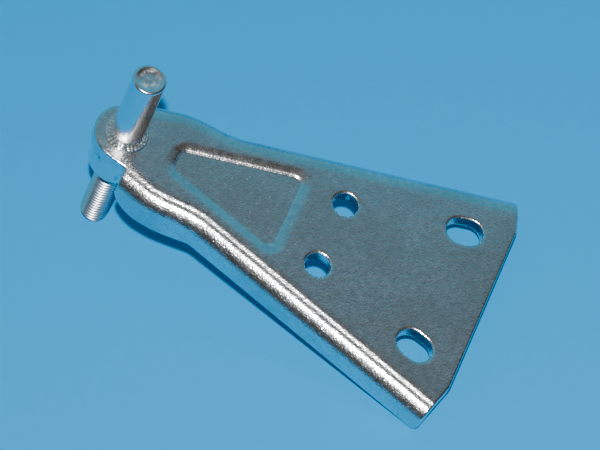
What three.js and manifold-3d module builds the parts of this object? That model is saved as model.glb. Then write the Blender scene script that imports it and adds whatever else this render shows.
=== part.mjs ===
// A pressed-steel door hinge: a flanged sheet bracket with a turned hinge pin
// pressed through its nose. The pin stands up from the plate for the door's
// bush, and ends below the nose in a collar and a threaded stud.
//
// Millimetres, +Z up along the pin, +X from the pin to the wide end.
// The model is drawn with the plate's top face at z = 0 on the pin's axis, and
// the group lifts it so that the stud's flat end stands at the origin.
import * as THREE from "three";
import { mergeVertices } from "three/addons/utils/BufferGeometryUtils.js";
import Module from "manifold-3d";

const wasm = await Module();
wasm.setup();

// ---- driving dimensions: bracket ----
const SHEET = 3.0; // thickness of the steel sheet
const PIN_TO_END = 81.0; // pin axis to the straight part of the wide end
const NOSE_RADIUS = 6.7; // round nose, concentric with the pin
const NOSE_FLARE = THREE.MathUtils.degToRad(14); // how far the nose's sides open out
const TAPER = THREE.MathUtils.degToRad(15.6); // each flange's angle to the centre line
const HALF_WIDTH_AT_PIN = 7.2; // the flange faces, carried straight on to the pin's axis
const SHOULDER = 3.0; // how far the flanges bulge out beside the nose
const SHOULDER_START = 8.0; // the bulge is whole up to here
const SHOULDER_LENGTH = 14.4; // and is gone after this much more
const FLANGE_START = 2.9; // where the flanges begin, behind the nose
const FLANGE_DEPTH = 7.2; // below the plate's top face, along the taper
const SHOULDER_DEPTH = 8.6; // the same, beside the nose
const SHOULDER_RUN = 4.8; // how far the deep edge runs on before it rises
const SHOULDER_RISE = 8.1; // and the length of its rise
const BEND_RADIUS = 4.8; // outside of the bend
const STRAIGHT_END_WIDTH = 40.6; // straight part of the wide end
const END_CORNER_RADIUS = 2.0; // where the cut-back corners start
const FLANGE_CORNER_RADIUS = 1.8; // lower corner of each flange at the wide end

// ---- driving dimensions: openings in the plate ----
const HOLE_DIAMETER = 5.4;
const HOLE_FROM_PIN = 46.5;
const HOLE_SPACING = 16.0;
const SLOT_WIDTH = 6.1;
const SLOT_LENGTH = 7.9;
const SLOT_TO_END = 9.9; // slot centre to the wide end
const SLOT_SPACING = 30.0;

// ---- driving dimensions: pressed recess ----
const RECESS_START = 9.3; // from the pin's axis
const RECESS_LENGTH = 29.6;
const RECESS_START_WIDTH = 8.2;
const RECESS_DEPTH = 0.9;
const RECESS_WALL = 2.2; // width of the sloping wall
const RECESS_EASE = [0.5, 0.22]; // share of the wall's width, and of its depth there
const RECESS_START_RADIUS = 3.4;
const RECESS_END_RADIUS = 4.6;

// ---- driving dimensions: pin ----
const PIN_DIAMETER = 7.0;
const PIN_HEIGHT = 21.5; // above the plate
const PIN_RIM = 0.6; // rounding of the pin's top rim
const PIN_DISH = 0.15; // the hollow in the pin's flat top
const SHANK_STEP = 0.4; // how much thicker, all round, the part in the plate is
const RING_OVERHANG = 0.7; // how far the staked ring laps over the plate
const RING_HEIGHT = 0.6;
const RING_TEETH = 40;
const RING_TOOTH = 0.16; // depth of the ring's serration
const COLLAR_DIAMETER = 11.3;
const COLLAR_LENGTH = 8.1;
const STUD_DIAMETER = 6.0;
const STUD_LENGTH = 21.8; // below the collar
const STUD_NECK = 0.5; // plain stretch between the collar and the thread
const THREAD_PITCH = 1.0;
const THREAD_DEPTH = 0.61 * THREAD_PITCH; // as on any 60 degree thread
const THREAD_CREST = 0.12 * THREAD_PITCH; // width of the crest's flat
const STUD_CHAMFER = 0.9;
const EDGE_CHAMFER = 0.3;

// ---- fits ----
const SHANK_CLEARANCE = 0.1; // shank to its hole, all round
const SEAT_CLEARANCE = 0.1; // collar and ring to the plate's faces
const SHANK_DIAMETER = PIN_DIAMETER + 2 * SHANK_STEP;
const MARGIN = 3.0; // how far cutting bodies stand clear of what they cut

// ---- finishes ----
const zincPlate = new THREE.MeshStandardMaterial({
  color: 0x9aa2a6,
  roughness: 0.42,
  metalness: 0.9,
});
const zincBright = new THREE.MeshStandardMaterial({
  color: 0xb4bbbf,
  roughness: 0.25,
  metalness: 0.95,
});

// ---- helpers ----

// The solid of a geometry. Only the shared corners of its triangles count.
function solid(geometry) {
  const bare = geometry.clone();
  bare.deleteAttribute("normal");
  bare.deleteAttribute("uv");
  const merged = mergeVertices(bare, 1e-4);
  return new wasm.Manifold(
    new wasm.Mesh({
      numProp: 3,
      vertProperties: merged.getAttribute("position").array,
      triVerts: new Uint32Array(merged.index.array),
    }),
  );
}

// A geometry for drawing, from a solid.
function geometryOf(body) {
  const mesh = body.getMesh();
  const geometry = new THREE.BufferGeometry();
  const places = new THREE.BufferAttribute(mesh.vertProperties, mesh.numProp);
  geometry.setAttribute("position", places);
  geometry.setIndex(new THREE.BufferAttribute(mesh.triVerts, 1));
  const flat = geometry.toNonIndexed();
  flat.computeVertexNormals();
  return flat;
}

// Joins closed rings of equally many points into one body with flat ends.
function loft(rings, flatEnd) {
  const count = rings[0].length;
  const places = rings.flat().flatMap((point) => [point.x, point.y, point.z]);
  const faces = [];
  for (let ring = 0; ring + 1 < rings.length; ring++) {
    for (let i = 0; i < count; i++) {
      const next = (i + 1) % count;
      const a = ring * count + i;
      const b = ring * count + next;
      faces.push(a, b, b + count, a, b + count, a + count);
    }
  }
  const last = (rings.length - 1) * count;
  for (const [a, b, c] of THREE.ShapeUtils.triangulateShape(flatEnd, [])) {
    faces.push(a, c, b);
    faces.push(last + a, last + b, last + c);
  }
  const geometry = new THREE.BufferGeometry();
  geometry.setAttribute("position", new THREE.Float32BufferAttribute(places, 3));
  geometry.setIndex(faces);
  return geometry;
}

// An upright prism of a plan outline, between two heights.
function prism(shape, low, high, curveSegments = 12) {
  const options = { depth: high - low, bevelEnabled: false, curveSegments };
  return solid(new THREE.ExtrudeGeometry(shape, options).translate(0, 0, low));
}

// A polygon with each corner rounded by its own radius, [x, y, radius].
function roundedPolygon(corners) {
  const shape = new THREE.Shape();
  const at = (i) => corners[(i + corners.length) % corners.length];
  corners.forEach(([x, y, radius], i) => {
    const here = new THREE.Vector2(x, y);
    const before = new THREE.Vector2(at(i - 1)[0], at(i - 1)[1]).sub(here).normalize();
    const after = new THREE.Vector2(at(i + 1)[0], at(i + 1)[1]).sub(here).normalize();
    const half = Math.acos(before.dot(after)) / 2;
    const reach = radius / Math.tan(half);
    const start = here.clone().addScaledVector(before, reach);
    const end = here.clone().addScaledVector(after, reach);
    if (i === 0) shape.moveTo(start.x, start.y);
    else shape.lineTo(start.x, start.y);
    if (radius > 0) {
      const middle = before.clone().add(after).normalize();
      const centre = here.clone().addScaledVector(middle, radius / Math.sin(half));
      const turn = before.cross(after) < 0;
      const from = start.clone().sub(centre).angle();
      const to = end.clone().sub(centre).angle();
      shape.absarc(centre.x, centre.y, radius, from, to, !turn);
    }
  });
  return shape;
}

// ---- bracket ----

// Half the bracket's width over its flanges, at a distance from the pin.
function halfWidth(x) {
  const bulge = 1 - THREE.MathUtils.smoothstep(x, SHOULDER_START, SHOULDER_START + SHOULDER_LENGTH);
  return HALF_WIDTH_AT_PIN + x * Math.tan(TAPER) + SHOULDER * bulge;
}

// One cross-section of the bent sheet: an upside-down channel.
function channelSection(x) {
  const lean = 1 / Math.cos(TAPER); // the section is cut at an angle to the flanges
  const side = halfWidth(x);
  const deep = SHOULDER_DEPTH + BEND_RADIUS;
  const bendSteps = 7;
  const bend = (radius, turn) => {
    const angle = (turn * Math.PI) / 2;
    const y = side - (BEND_RADIUS - radius * Math.sin(angle)) * lean;
    return new THREE.Vector3(x, y, -BEND_RADIUS + radius * Math.cos(angle));
  };
  const outer = [new THREE.Vector3(x, side, -deep)];
  const inner = [new THREE.Vector3(x, side - SHEET * lean, -deep)];
  for (let step = bendSteps; step >= 0; step--) {
    outer.push(bend(BEND_RADIUS, step / bendSteps));
    inner.push(bend(BEND_RADIUS - SHEET, step / bendSteps));
  }
  const mirrored = (points) => points.map((p) => new THREE.Vector3(p.x, -p.y, p.z));
  return [...outer, ...mirrored(outer).reverse(), ...mirrored(inner), ...inner.reverse()];
}

function bentSheet() {
  const shoulderSteps = 12;
  const stations = [FLANGE_START];
  for (let step = 0; step <= shoulderSteps; step++) {
    stations.push(SHOULDER_START + (SHOULDER_LENGTH * step) / shoulderSteps);
  }
  stations.push(PIN_TO_END + MARGIN);
  const rings = stations.map(channelSection);
  const flatEnd = rings[0].map((point) => new THREE.Vector2(point.y, point.z));
  return solid(loft(rings, flatEnd));
}

// The nose: flat sheet, round about the pin, reaching back into the flat of the
// bent sheet. Its edge meets the flange's front a little outside the bend's start.
function noseSheet() {
  const reach = FLANGE_START + MARGIN;
  const tangentX = -NOSE_RADIUS * Math.sin(NOSE_FLARE);
  const tangentY = NOSE_RADIUS * Math.cos(NOSE_FLARE);
  const edgeY = tangentY + (FLANGE_START - tangentX) * Math.tan(NOSE_FLARE);
  const innerY = halfWidth(FLANGE_START) - BEND_RADIUS - EDGE_CHAMFER;
  const shape = new THREE.Shape();
  shape.moveTo(FLANGE_START, edgeY);
  shape.lineTo(tangentX, tangentY);
  const start = Math.PI / 2 + NOSE_FLARE;
  shape.absarc(0, 0, NOSE_RADIUS, start, 2 * Math.PI - start, false);
  shape.lineTo(FLANGE_START, -edgeY);
  shape.lineTo(FLANGE_START, -innerY);
  shape.lineTo(reach, -innerY);
  shape.lineTo(reach, innerY);
  shape.lineTo(FLANGE_START, innerY);
  return prism(shape, -SHEET, 0, 28);
}

// What the press leaves of the bent sheet, seen from above: the wide end is
// straight in the middle, and its corners are cut back square to the flanges.
function planOutline() {
  const halfStraight = STRAIGHT_END_WIDTH / 2;
  const beyond = halfWidth(PIN_TO_END) + MARGIN;
  const cutBack = (beyond - halfStraight) * Math.tan(TAPER);
  return roundedPolygon([
    [-NOSE_RADIUS, -beyond, 0],
    [PIN_TO_END - cutBack, -beyond, 0],
    [PIN_TO_END, -halfStraight, END_CORNER_RADIUS],
    [PIN_TO_END, halfStraight, END_CORNER_RADIUS],
    [PIN_TO_END - cutBack, beyond, 0],
    [-NOSE_RADIUS, beyond, 0],
  ]);
}

// The same, seen from the side: the flanges' lower edge. It is deeper beside
// the nose, where its front corner is a long curve, and steps up after it.
function sideOutline() {
  const frontLength = SHOULDER_START - FLANGE_START;
  const riseX = SHOULDER_START + SHOULDER_RUN;
  const stepX = riseX + SHOULDER_RISE;
  const rise = SHOULDER_DEPTH - FLANGE_DEPTH;
  const flangeEnd = PIN_TO_END - (halfWidth(PIN_TO_END) - STRAIGHT_END_WIDTH / 2) * Math.tan(TAPER);
  const shape = new THREE.Shape();
  shape.moveTo(FLANGE_START - MARGIN, MARGIN);
  shape.lineTo(FLANGE_START - MARGIN, -SHOULDER_DEPTH / 2);
  shape.lineTo(FLANGE_START, -SHOULDER_DEPTH / 2);
  shape.absellipse(
    FLANGE_START + frontLength, -SHOULDER_DEPTH / 2,
    frontLength, SHOULDER_DEPTH / 2,
    Math.PI, 1.5 * Math.PI, false, 0,
  );
  shape.lineTo(riseX, -SHOULDER_DEPTH);
  shape.quadraticCurveTo(stepX - 2 * rise, -SHOULDER_DEPTH, stepX, -FLANGE_DEPTH);
  const flatEndX = flangeEnd - FLANGE_CORNER_RADIUS;
  shape.lineTo(flatEndX, -FLANGE_DEPTH);
  shape.absarc(
    flatEndX, -FLANGE_DEPTH + FLANGE_CORNER_RADIUS, FLANGE_CORNER_RADIUS,
    1.5 * Math.PI, 2 * Math.PI, false,
  );
  shape.lineTo(flangeEnd, -BEND_RADIUS);
  shape.lineTo(PIN_TO_END + MARGIN, -BEND_RADIUS);
  shape.lineTo(PIN_TO_END + MARGIN, MARGIN);
  const wide = 2 * halfWidth(PIN_TO_END) + 2 * MARGIN;
  const options = { depth: wide, bevelEnabled: false, curveSegments: 8 };
  const geometry = new THREE.ExtrudeGeometry(shape, options);
  geometry.rotateX(Math.PI / 2).translate(0, wide / 2, 0);
  return solid(geometry);
}

// The recess's outline, smaller all round by an inset.
function recessOutline(inset) {
  const start = RECESS_START + inset;
  const end = RECESS_START + RECESS_LENGTH - inset;
  const narrow = RECESS_START_WIDTH / 2 - inset / Math.cos(TAPER);
  const half = (x) => narrow + (x - RECESS_START) * Math.tan(TAPER);
  return roundedPolygon([
    [start, half(start), RECESS_START_RADIUS - inset],
    [start, -half(start), RECESS_START_RADIUS - inset],
    [end, -half(end), RECESS_END_RADIUS - inset],
    [end, half(end), RECESS_END_RADIUS - inset],
  ]);
}

// The body between the recess's rim at one height and its floor at another.
function recessBody(rimZ, floorZ) {
  const arcSteps = 6;
  const ring = (inset, z) =>
    recessOutline(inset)
      .extractPoints(arcSteps)
      .shape.map((point) => new THREE.Vector3(point.x, point.y, z));
  const slope = [[0, 0], RECESS_EASE, [1, 1]];
  const rings = slope.map(([across, down]) =>
    ring(across * RECESS_WALL, THREE.MathUtils.lerp(rimZ, floorZ, down)));
  rings.unshift(ring(0, rimZ + RECESS_DEPTH));
  rings.reverse();
  const flatEnd = rings[0].map((point) => new THREE.Vector2(point.x, point.y));
  return solid(loft(rings, flatEnd));
}

// A round hole, or a slot along the flange on its side, through the plate.
function opening(x, y, width, length, angle) {
  const radius = width / 2;
  const half = length / 2 - radius;
  const shape = new THREE.Shape();
  shape.absarc(half, 0, radius, -Math.PI / 2, Math.PI / 2, false);
  shape.absarc(-half, 0, radius, Math.PI / 2, 1.5 * Math.PI, false);
  const depth = SHEET + 2 * MARGIN;
  const options = { depth, bevelEnabled: false, curveSegments: 14 };
  const geometry = new THREE.ExtrudeGeometry(shape, options);
  geometry.rotateZ(angle).translate(x, y, MARGIN - depth);
  return solid(geometry);
}

function makeBracket() {
  const height = SHOULDER_DEPTH + BEND_RADIUS;
  let body = bentSheet()
    .intersect(prism(planOutline(), -height, MARGIN))
    .intersect(sideOutline())
    .add(noseSheet());
  body = body.add(recessBody(-SHEET, -SHEET - RECESS_DEPTH));
  body = body.subtract(recessBody(0, -RECESS_DEPTH));
  for (const side of [-1, 1]) {
    const holeY = (side * HOLE_SPACING) / 2;
    const slotX = PIN_TO_END - SLOT_TO_END;
    const slotY = (side * SLOT_SPACING) / 2;
    body = body.subtract(opening(HOLE_FROM_PIN, holeY, HOLE_DIAMETER, HOLE_DIAMETER, 0));
    body = body.subtract(opening(slotX, slotY, SLOT_WIDTH, SLOT_LENGTH, side * TAPER));
  }
  const pinHole = SHANK_DIAMETER + 2 * SHANK_CLEARANCE;
  return body.subtract(opening(0, 0, pinHole, pinHole, 0));
}

// ---- pin ----

// The thread: a surface whose rows follow the helix, from well above the
// stud's root to well below its tip. Each turn joins the next along one seam.
function threadedRod(topZ, bottomZ) {
  const columns = 24;
  const crest = THREAD_CREST / THREAD_PITCH;
  const rows = [
    [0, STUD_DIAMETER / 2 - THREAD_DEPTH],
    [(1 - crest) / 2, STUD_DIAMETER / 2],
    [(1 + crest) / 2, STUD_DIAMETER / 2],
  ];
  const turns = Math.ceil((topZ - bottomZ) / THREAD_PITCH) + 1;
  const startZ = bottomZ - THREAD_PITCH;
  const rowCount = turns * rows.length;
  const places = [];
  for (let row = 0; row <= rowCount; row++) {
    const [step, radius] = rows[row % rows.length];
    const turn = Math.floor(row / rows.length) + step;
    for (let column = 0; column < columns; column++) {
      const share = column / columns;
      const angle = 2 * Math.PI * share;
      const z = startZ + (turn + share) * THREAD_PITCH;
      places.push(radius * Math.cos(angle), radius * Math.sin(angle), z);
    }
  }
  const at = (row, column) =>
    column < columns ? row * columns + column : (row + rows.length) * columns;
  const lastRow = rowCount - rows.length;
  const faces = [];
  for (let row = 0; row < lastRow; row++) {
    for (let column = 0; column < columns; column++) {
      const a = at(row, column);
      const b = at(row, column + 1);
      const c = at(row + 1, column + 1);
      const d = at(row + 1, column);
      faces.push(a, b, c, a, c, d);
    }
  }
  const cap = (row, facing) => {
    const centre = places.length / 3;
    places.push(0, 0, places[3 * at(row, 0) + 2] + THREAD_PITCH / 2);
    const loop = [];
    for (let column = 0; column < columns; column++) loop.push(at(row, column));
    for (let up = rows.length; up > 0; up--) loop.push(at(row + up, 0));
    loop.forEach((corner, i) => {
      const next = loop[(i + 1) % loop.length];
      if (facing > 0) faces.push(centre, corner, next);
      else faces.push(centre, next, corner);
    });
  };
  cap(0, -1);
  cap(lastRow, 1);
  const geometry = new THREE.BufferGeometry();
  geometry.setAttribute("position", new THREE.Float32BufferAttribute(places, 3));
  geometry.setIndex(faces);
  return solid(geometry);
}

// A turned body from its profile, [radius, height] from bottom to top.
function turned(profile, sides = 48) {
  const points = profile.map(([radius, z]) => new THREE.Vector2(radius, z));
  return solid(new THREE.LatheGeometry(points, sides).rotateX(Math.PI / 2));
}

// The ring that staking raises round the pin's foot, with its serrated edge.
function stakedRing() {
  const outer = SHANK_DIAMETER / 2 + RING_OVERHANG;
  const shape = new THREE.Shape();
  const corners = 2 * RING_TEETH;
  for (let corner = 0; corner < corners; corner++) {
    const angle = (2 * Math.PI * corner) / corners;
    const radius = corner % 2 ? outer - RING_TOOTH : outer;
    if (corner) shape.lineTo(radius * Math.cos(angle), radius * Math.sin(angle));
    else shape.moveTo(radius, 0);
  }
  return prism(shape, SEAT_CLEARANCE, SEAT_CLEARANCE + RING_HEIGHT);
}

function makePin() {
  const pin = PIN_DIAMETER / 2;
  const shank = SHANK_DIAMETER / 2;
  const collar = COLLAR_DIAMETER / 2;
  const collarTop = -SHEET - SEAT_CLEARANCE;
  const collarBottom = collarTop - COLLAR_LENGTH;
  const tip = collarBottom - STUD_LENGTH;
  const stud = STUD_DIAMETER / 2;
  const neckBottom = collarBottom - STUD_NECK;
  const rimSteps = 4;
  const rim = [];
  for (let step = 0; step <= rimSteps; step++) {
    const angle = (Math.PI / 2) * (step / rimSteps);
    const inset = PIN_RIM * (1 - Math.cos(angle));
    rim.push([pin - inset, PIN_HEIGHT - PIN_RIM + PIN_RIM * Math.sin(angle)]);
  }
  const dishEdge = pin - PIN_RIM - EDGE_CHAMFER;
  const turnedBody = turned([
    [0, neckBottom],
    [stud, neckBottom],
    [stud, collarBottom],
    [collar - EDGE_CHAMFER, collarBottom],
    [collar, collarBottom + EDGE_CHAMFER],
    [collar, collarTop],
    [shank, collarTop],
    [shank, SEAT_CLEARANCE + RING_HEIGHT],
    [pin, SEAT_CLEARANCE + RING_HEIGHT],
    ...rim,
    [dishEdge, PIN_HEIGHT],
    [dishEdge - EDGE_CHAMFER, PIN_HEIGHT - PIN_DISH],
    [0, PIN_HEIGHT - PIN_DISH],
  ]);
  const studEnvelope = turned([
    [0, tip],
    [stud - STUD_CHAMFER, tip],
    [stud, tip + STUD_CHAMFER],
    [stud, collarBottom],
    [0, collarBottom],
  ]);
  const rod = threadedRod(collarBottom + THREAD_PITCH, tip - THREAD_PITCH);
  return turnedBody.add(stakedRing()).add(rod.intersect(studEnvelope));
}

// ---- assembly ----

function piece(name, body, material) {
  const mesh = new THREE.Mesh(geometryOf(body), material);
  mesh.name = name;
  return mesh;
}

const hinge = new THREE.Group();
hinge.add(piece("bracket", makeBracket(), zincPlate));
hinge.add(piece("hinge_pin", makePin(), zincBright));
hinge.position.z = SHEET + SEAT_CLEARANCE + COLLAR_LENGTH + STUD_LENGTH;

const part = new THREE.Group();
part.add(hinge);

export default part;
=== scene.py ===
# %% [markdown]
# # A pressed-steel door hinge
# The real object is two pieces of zinc-plated steel: a bracket blanked and bent
# from thick sheet, and a turned pin that is pressed through the bracket's nose.
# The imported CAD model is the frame: it gives every size and place. Both of its
# nodes could be kept as they are, but their edges are sharp and their curves
# are coarse, so each is replaced by a finer piece made in the same place.

# %% Load the frame
import math

import bmesh
import bpy
from mathutils import Matrix, Vector
from mathutils.geometry import delaunay_2d_cdt


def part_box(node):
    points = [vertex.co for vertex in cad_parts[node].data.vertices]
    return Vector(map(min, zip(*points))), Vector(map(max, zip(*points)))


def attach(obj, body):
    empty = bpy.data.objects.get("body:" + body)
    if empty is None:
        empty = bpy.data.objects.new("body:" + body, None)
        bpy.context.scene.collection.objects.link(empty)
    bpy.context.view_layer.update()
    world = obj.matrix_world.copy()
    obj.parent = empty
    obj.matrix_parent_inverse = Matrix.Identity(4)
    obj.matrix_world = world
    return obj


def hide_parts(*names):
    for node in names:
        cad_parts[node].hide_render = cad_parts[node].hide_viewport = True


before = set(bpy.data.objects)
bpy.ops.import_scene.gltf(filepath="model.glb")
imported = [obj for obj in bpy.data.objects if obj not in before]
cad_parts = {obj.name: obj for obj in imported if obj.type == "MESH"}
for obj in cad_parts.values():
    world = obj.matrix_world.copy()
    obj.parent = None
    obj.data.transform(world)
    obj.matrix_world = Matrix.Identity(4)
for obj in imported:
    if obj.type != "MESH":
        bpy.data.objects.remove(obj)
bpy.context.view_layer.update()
bracket_low, bracket_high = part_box("bracket")
pin_low, pin_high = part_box("hinge_pin")
MM = 0.001
PLATE_TOP = bracket_high[2]
WIDE_END = bracket_high[0]
print("bracket from", tuple(bracket_low), "to", tuple(bracket_high))
print("pin from", tuple(pin_low), "to", tuple(pin_high))

# %% [markdown]
# ## Two small helpers for node trees
# A bent sheet follows a formula, and a formula is hard to read once it is spread
# over forty Math nodes. A node group for every step would work, and so would
# wiring by hand, but here a tiny class carries a socket and turns `+`, `*` and
# the like into Math nodes, so that the script reads as the formula does. A second
# helper runs a tree once and keeps its result as a plain mesh, with no modifier.

# %% Formula: arithmetic that writes Math nodes
class Formula:
    def __init__(self, tree, value):
        self.tree = tree
        self.value = value

    def math(self, operation, *others):
        node = self.tree.nodes.new("ShaderNodeMath")
        node.operation = operation
        for place, term in enumerate((self, *others)):
            value = term.value if isinstance(term, Formula) else term
            if isinstance(value, (int, float)):
                node.inputs[place].default_value = value
            else:
                self.tree.links.new(value, node.inputs[place])
        return Formula(self.tree, node.outputs[0])

    def __add__(self, other):
        return self.math("ADD", other)

    def __sub__(self, other):
        return self.math("SUBTRACT", other)

    def __mul__(self, other):
        return self.math("MULTIPLY", other)

    def __truediv__(self, other):
        return self.math("DIVIDE", other)

    def below(self, other):
        return self.math("MINIMUM", other)

    def above(self, other):
        return self.math("MAXIMUM", other)

    def share(self):
        """Kept between 0 and 1."""
        return self.above(0.0).below(1.0)

    def eased(self):
        """A share that starts and ends gently."""
        kept = self.share()
        return kept * kept * (kept * -2.0 + 3.0)


def new_tree(name, numbers, with_geometry):
    """An empty Geometry Nodes tree with named number inputs and a material input."""
    tree = bpy.data.node_groups.new(name, "GeometryNodeTree")
    face = tree.interface
    if with_geometry:
        face.new_socket("Geometry", in_out="INPUT", socket_type="NodeSocketGeometry")
    face.new_socket("Geometry", in_out="OUTPUT", socket_type="NodeSocketGeometry")
    for label in numbers:
        face.new_socket(label, in_out="INPUT", socket_type="NodeSocketFloat")
    face.new_socket("Material", in_out="INPUT", socket_type="NodeSocketMaterial")
    start = tree.nodes.new("NodeGroupInput")
    end = tree.nodes.new("NodeGroupOutput")
    sizes = {label: Formula(tree, start.outputs[label]) for label in numbers}
    return tree, start, end, sizes


def finish_tree(tree, start, end, socket):
    """Every tree ends the same way: instances made real, then the material."""
    real = tree.nodes.new("GeometryNodeRealizeInstances")
    coat = tree.nodes.new("GeometryNodeSetMaterial")
    tree.links.new(socket, real.inputs["Geometry"])
    tree.links.new(real.outputs[0], coat.inputs["Geometry"])
    tree.links.new(start.outputs["Material"], coat.inputs["Material"])
    tree.links.new(coat.outputs[0], end.inputs[0])


def lifted(tree, geometry, height):
    """Geometry set this much higher."""
    lift = tree.nodes.new("ShaderNodeCombineXYZ")
    tree.links.new(height.value, lift.inputs["Z"])
    put = tree.nodes.new("GeometryNodeTransform")
    tree.links.new(geometry, put.inputs["Geometry"])
    tree.links.new(lift.outputs[0], put.inputs["Translation"])
    return put.outputs[0]


def made_by_tree(name, tree, numbers, material, mesh=None):
    """Runs a tree on a mesh, or on nothing, and keeps the result as a plain mesh object."""
    seed = bpy.data.objects.new(name + "_seed", mesh or bpy.data.meshes.new(name + "_seed"))
    bpy.context.scene.collection.objects.link(seed)
    modifier = seed.modifiers.new(tree.name, "NODES")
    modifier.node_group = tree
    values = {**numbers, "Material": material}
    for item in tree.interface.items_tree:
        if item.in_out == "INPUT" and item.name in values:
            modifier[item.identifier] = values[item.name]
    depsgraph = bpy.context.evaluated_depsgraph_get()
    result = bpy.data.meshes.new_from_object(seed.evaluated_get(depsgraph))
    result.name = name
    bpy.data.objects.remove(seed)
    piece = bpy.data.objects.new(name, result)
    bpy.context.scene.collection.objects.link(piece)
    return piece


def smooth(piece, sharpest):
    """Smooth shading, kept crisp where two faces meet at more than this many degrees."""
    piece.data.polygons.foreach_set("use_smooth", [True] * len(piece.data.polygons))
    piece.data.set_sharp_from_angle(angle=math.radians(sharpest))


print("helpers ready")

# %% [markdown]
# ## Finish of the bracket: satin zinc
# Zinc plating on rolled sheet is a dull mirror. Light spreads a little in it, and
# a fine grain of the steel below shows as a mottle about a millimetre across,
# with bright pin-pricks and a few rusty specks. A flat grey metal would look like
# plastic foil, and an image would slide on the bends, so noise in the object's
# own coordinates drives colour, roughness and a slight bump. Where a bend has
# stretched the sheet its skin is coarser, like orange peel. The press tree further
# down leaves that on each point as the attribute "stretched", and the bump reads it.

# %% Material helpers
def new_material(name):
    """A material, its node tree and its Principled shader."""
    material = bpy.data.materials.new(name)
    material.use_nodes = True
    tree = material.node_tree
    return material, tree, tree.nodes["Principled BSDF"]


def noise(tree, place, scale, detail=3.0, roughness=0.55):
    """Noise with about this many spots to a metre."""
    node = tree.nodes.new("ShaderNodeTexNoise")
    node.inputs["Scale"].default_value = scale
    node.inputs["Detail"].default_value = detail
    node.inputs["Roughness"].default_value = roughness
    tree.links.new(place, node.inputs["Vector"])
    return Formula(tree, node.outputs["Fac"])


def graded(value, low, high):
    """0 where a value is at or under low, 1 where it is at or over high."""
    return ((value - low) * (1.0 / (high - low))).eased()


def fading(value, low, high):
    """1 where a value is at or under low, 0 where it is at or over high."""
    return graded(value, low, high) * -1.0 + 1.0


def blended(tree, share, first, second):
    """A colour between two, which are plain colours or sockets."""
    node = tree.nodes.new("ShaderNodeMix")
    node.data_type = "RGBA"
    tree.links.new(share.value, node.inputs["Factor"])
    for label, colour in (("A", first), ("B", second)):
        place = [s for s in node.inputs if s.name == label and s.type == "RGBA"][0]
        if isinstance(colour, tuple):
            place.default_value = (*colour, 1.0)
        else:
            tree.links.new(colour, place)
    return [s for s in node.outputs if s.type == "RGBA"][0]


def bumped(tree, height, depth, shader):
    """Bends the shader's normal as if the surface rose by height times depth."""
    node = tree.nodes.new("ShaderNodeBump")
    node.inputs["Distance"].default_value = depth
    tree.links.new(height.value, node.inputs["Height"])
    tree.links.new(node.outputs["Normal"], shader.inputs["Normal"])


def object_place(tree):
    """The object's own coordinates, so that a pattern stays on the piece."""
    return tree.nodes.new("ShaderNodeTexCoord").outputs["Object"]


print("material helpers ready")

# %% Satin zinc on the sheet
DARK_GRAIN = (0.58, 0.60, 0.62)
LIGHT_GRAIN = (0.80, 0.82, 0.84)
WARM_CLOUD = (0.58, 0.55, 0.53)
RUST = (0.45, 0.31, 0.24)
PINPRICK = (0.95, 0.95, 0.95)
SHEET_BUMP = 0.05 * MM
PEEL = 0.6

sheet_zinc, tree, shader = new_material("satin_zinc")
place = object_place(tree)
mottle = noise(tree, place, 900.0, detail=3.0, roughness=0.6)
grain = noise(tree, place, 2500.0, detail=1.0, roughness=0.6)
cloud = noise(tree, place, 85.0, detail=2.0)
waver = noise(tree, place, 200.0, detail=2.0)
stain_area = graded(noise(tree, place, 42.0, detail=3.0), 0.50, 0.68)
speckle = graded(noise(tree, place, 1900.0, detail=1.0), 0.58, 0.70)
pinprick = graded(noise(tree, place, 2400.0, detail=0.0), 0.76, 0.84)

speckled = graded(mottle * 0.5 + grain * 0.5, 0.3, 0.7)
grey = blended(tree, speckled, DARK_GRAIN, LIGHT_GRAIN)
clouded = blended(tree, graded(cloud, 0.35, 0.65) * 0.6, grey, WARM_CLOUD)
rusty = blended(tree, stain_area * speckle * 0.6, clouded, RUST)
bright = blended(tree, pinprick * 0.7, rusty, PINPRICK)
tree.links.new(bright, shader.inputs["Base Color"])
shader.inputs["Metallic"].default_value = 1.0
dullness = mottle * 0.10 + cloud * 0.06 + pinprick * 0.10 + 0.12
tree.links.new(dullness.value, shader.inputs["Roughness"])

bend = tree.nodes.new("ShaderNodeAttribute")
bend.attribute_name = "stretched"
peel = Formula(tree, bend.outputs["Fac"]) * PEEL + 1.0
bumped(tree, (grain * 0.9 + mottle * 0.25) * peel + waver * 0.9, SHEET_BUMP, shader)
print(sheet_zinc.name, "has", len(tree.nodes), "nodes")

# %% [markdown]
# ## The bracket's blank
# The press first cuts a flat blank: nose, sides, four openings and the pin's
# hole. It could be bent in one go with a Solidify modifier for the thickness,
# but that gives sharp edges. Here the blank is made flat with its full
# thickness, and with the soft rolled edge that a punch leaves all round, and a
# Geometry Nodes tree bends it afterwards, as the press tool does.

# %% Sizes of the bent sheet
SHEET = 3.0 * MM
BEND_RADIUS = 4.8 * MM
TAPER = math.radians(15.6)
HALF_WIDTH_AT_PIN = 7.2 * MM
SHOULDER = 3.0 * MM
SHOULDER_START = 8.0 * MM
SHOULDER_LENGTH = 14.4 * MM
FLANGE_START = 2.9 * MM
FLANGE_DEPTH = 7.2 * MM
SHOULDER_DEPTH = 8.6 * MM
NOSE_RADIUS = 6.7 * MM
NOSE_FLARE = math.radians(14.0)
STRAIGHT_END = 20.3 * MM
CORNER_RADIUS = 1.8 * MM
EDGE_RISE = (12.8 * MM, 18.1 * MM, 20.9 * MM)
EDGE_STRAIGHT_FROM = 23.0 * MM
NOSE_RELEASE = 2.6 * MM
RELEASE_FROM = -1.5 * MM


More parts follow.
